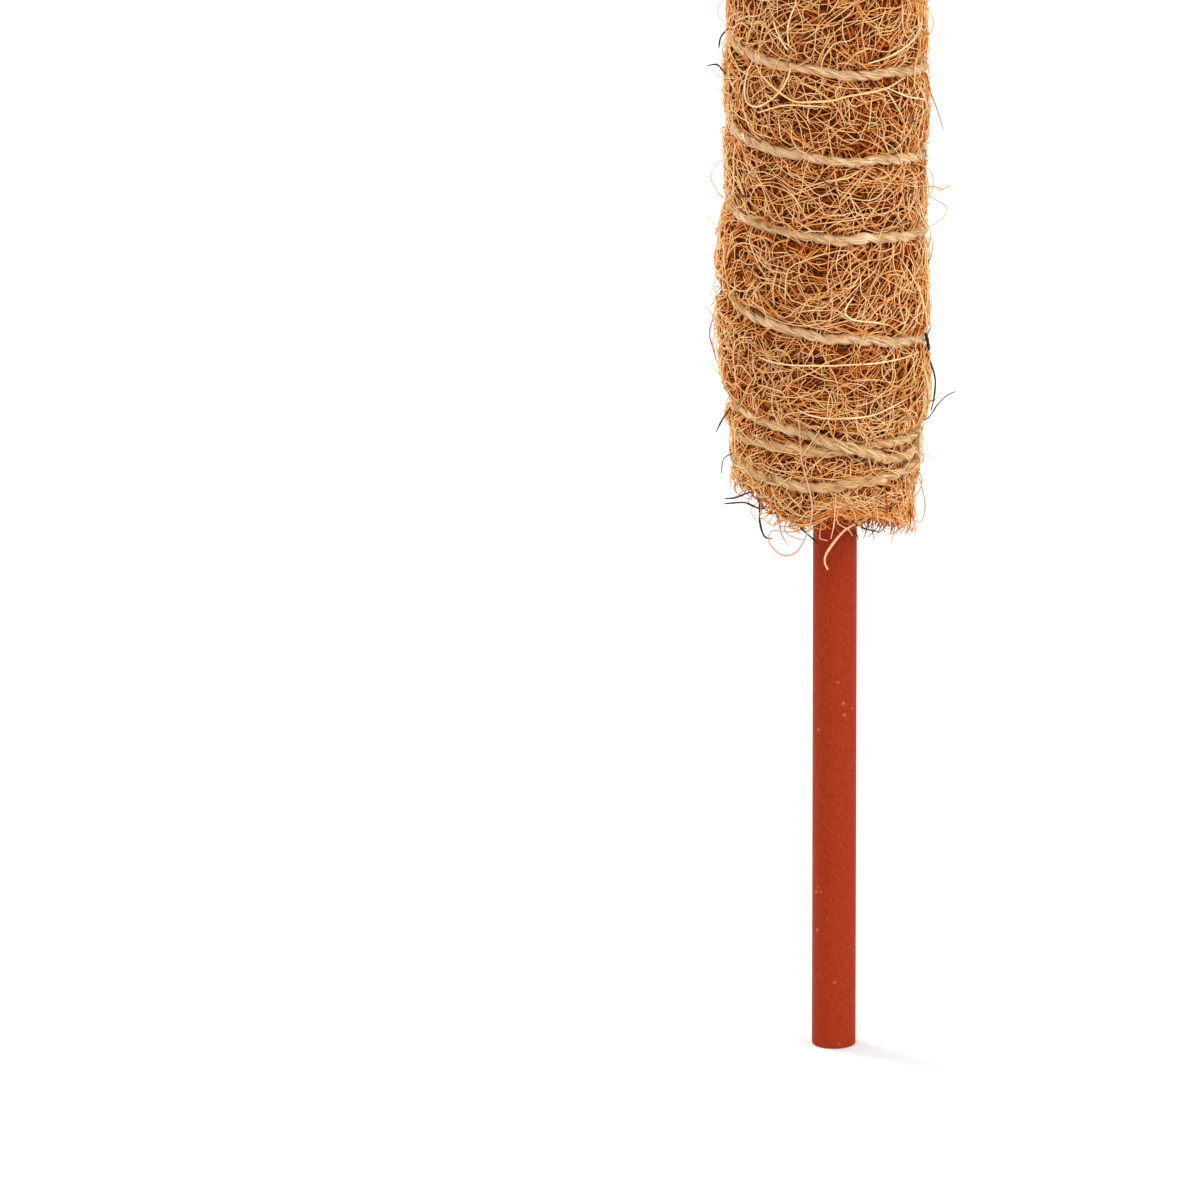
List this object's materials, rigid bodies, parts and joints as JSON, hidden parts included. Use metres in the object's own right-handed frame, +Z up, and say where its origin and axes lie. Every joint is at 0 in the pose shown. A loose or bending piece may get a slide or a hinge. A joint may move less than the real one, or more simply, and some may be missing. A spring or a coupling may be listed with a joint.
{
  "type": "moss pole",
  "caption": "Plant support pole: a coir fibre sleeve bound with spiral jute twine round a plastic tube, whose bare lower end is the stake for the pot's soil.",
  "frame": {"origin": "middle of the tube's foot, the end that is pushed into the soil", "axes": "+Z runs up the pole along the tube's axis. -Y is the front that the picture shows, and the twine's knots are at +Y"},
  "size_m": [0.047, 0.0485, 0.6],
  "materials": {
    "tube_plastic": "matte brick red",
    "inner_coir": "coarse brown coconut fibre, packed",
    "coir": "coarse curled coconut fibre",
    "jute": "two-ply jute twine"
  },
  "bodies": {
    "root": {"core_tube": "tube_plastic", "coir_core_wrap": "inner_coir", "coir_mat": "coir", "binding_twine": "jute", "foot_knot": "jute", "head_knot": "jute"}
  },
  "joints": []
}
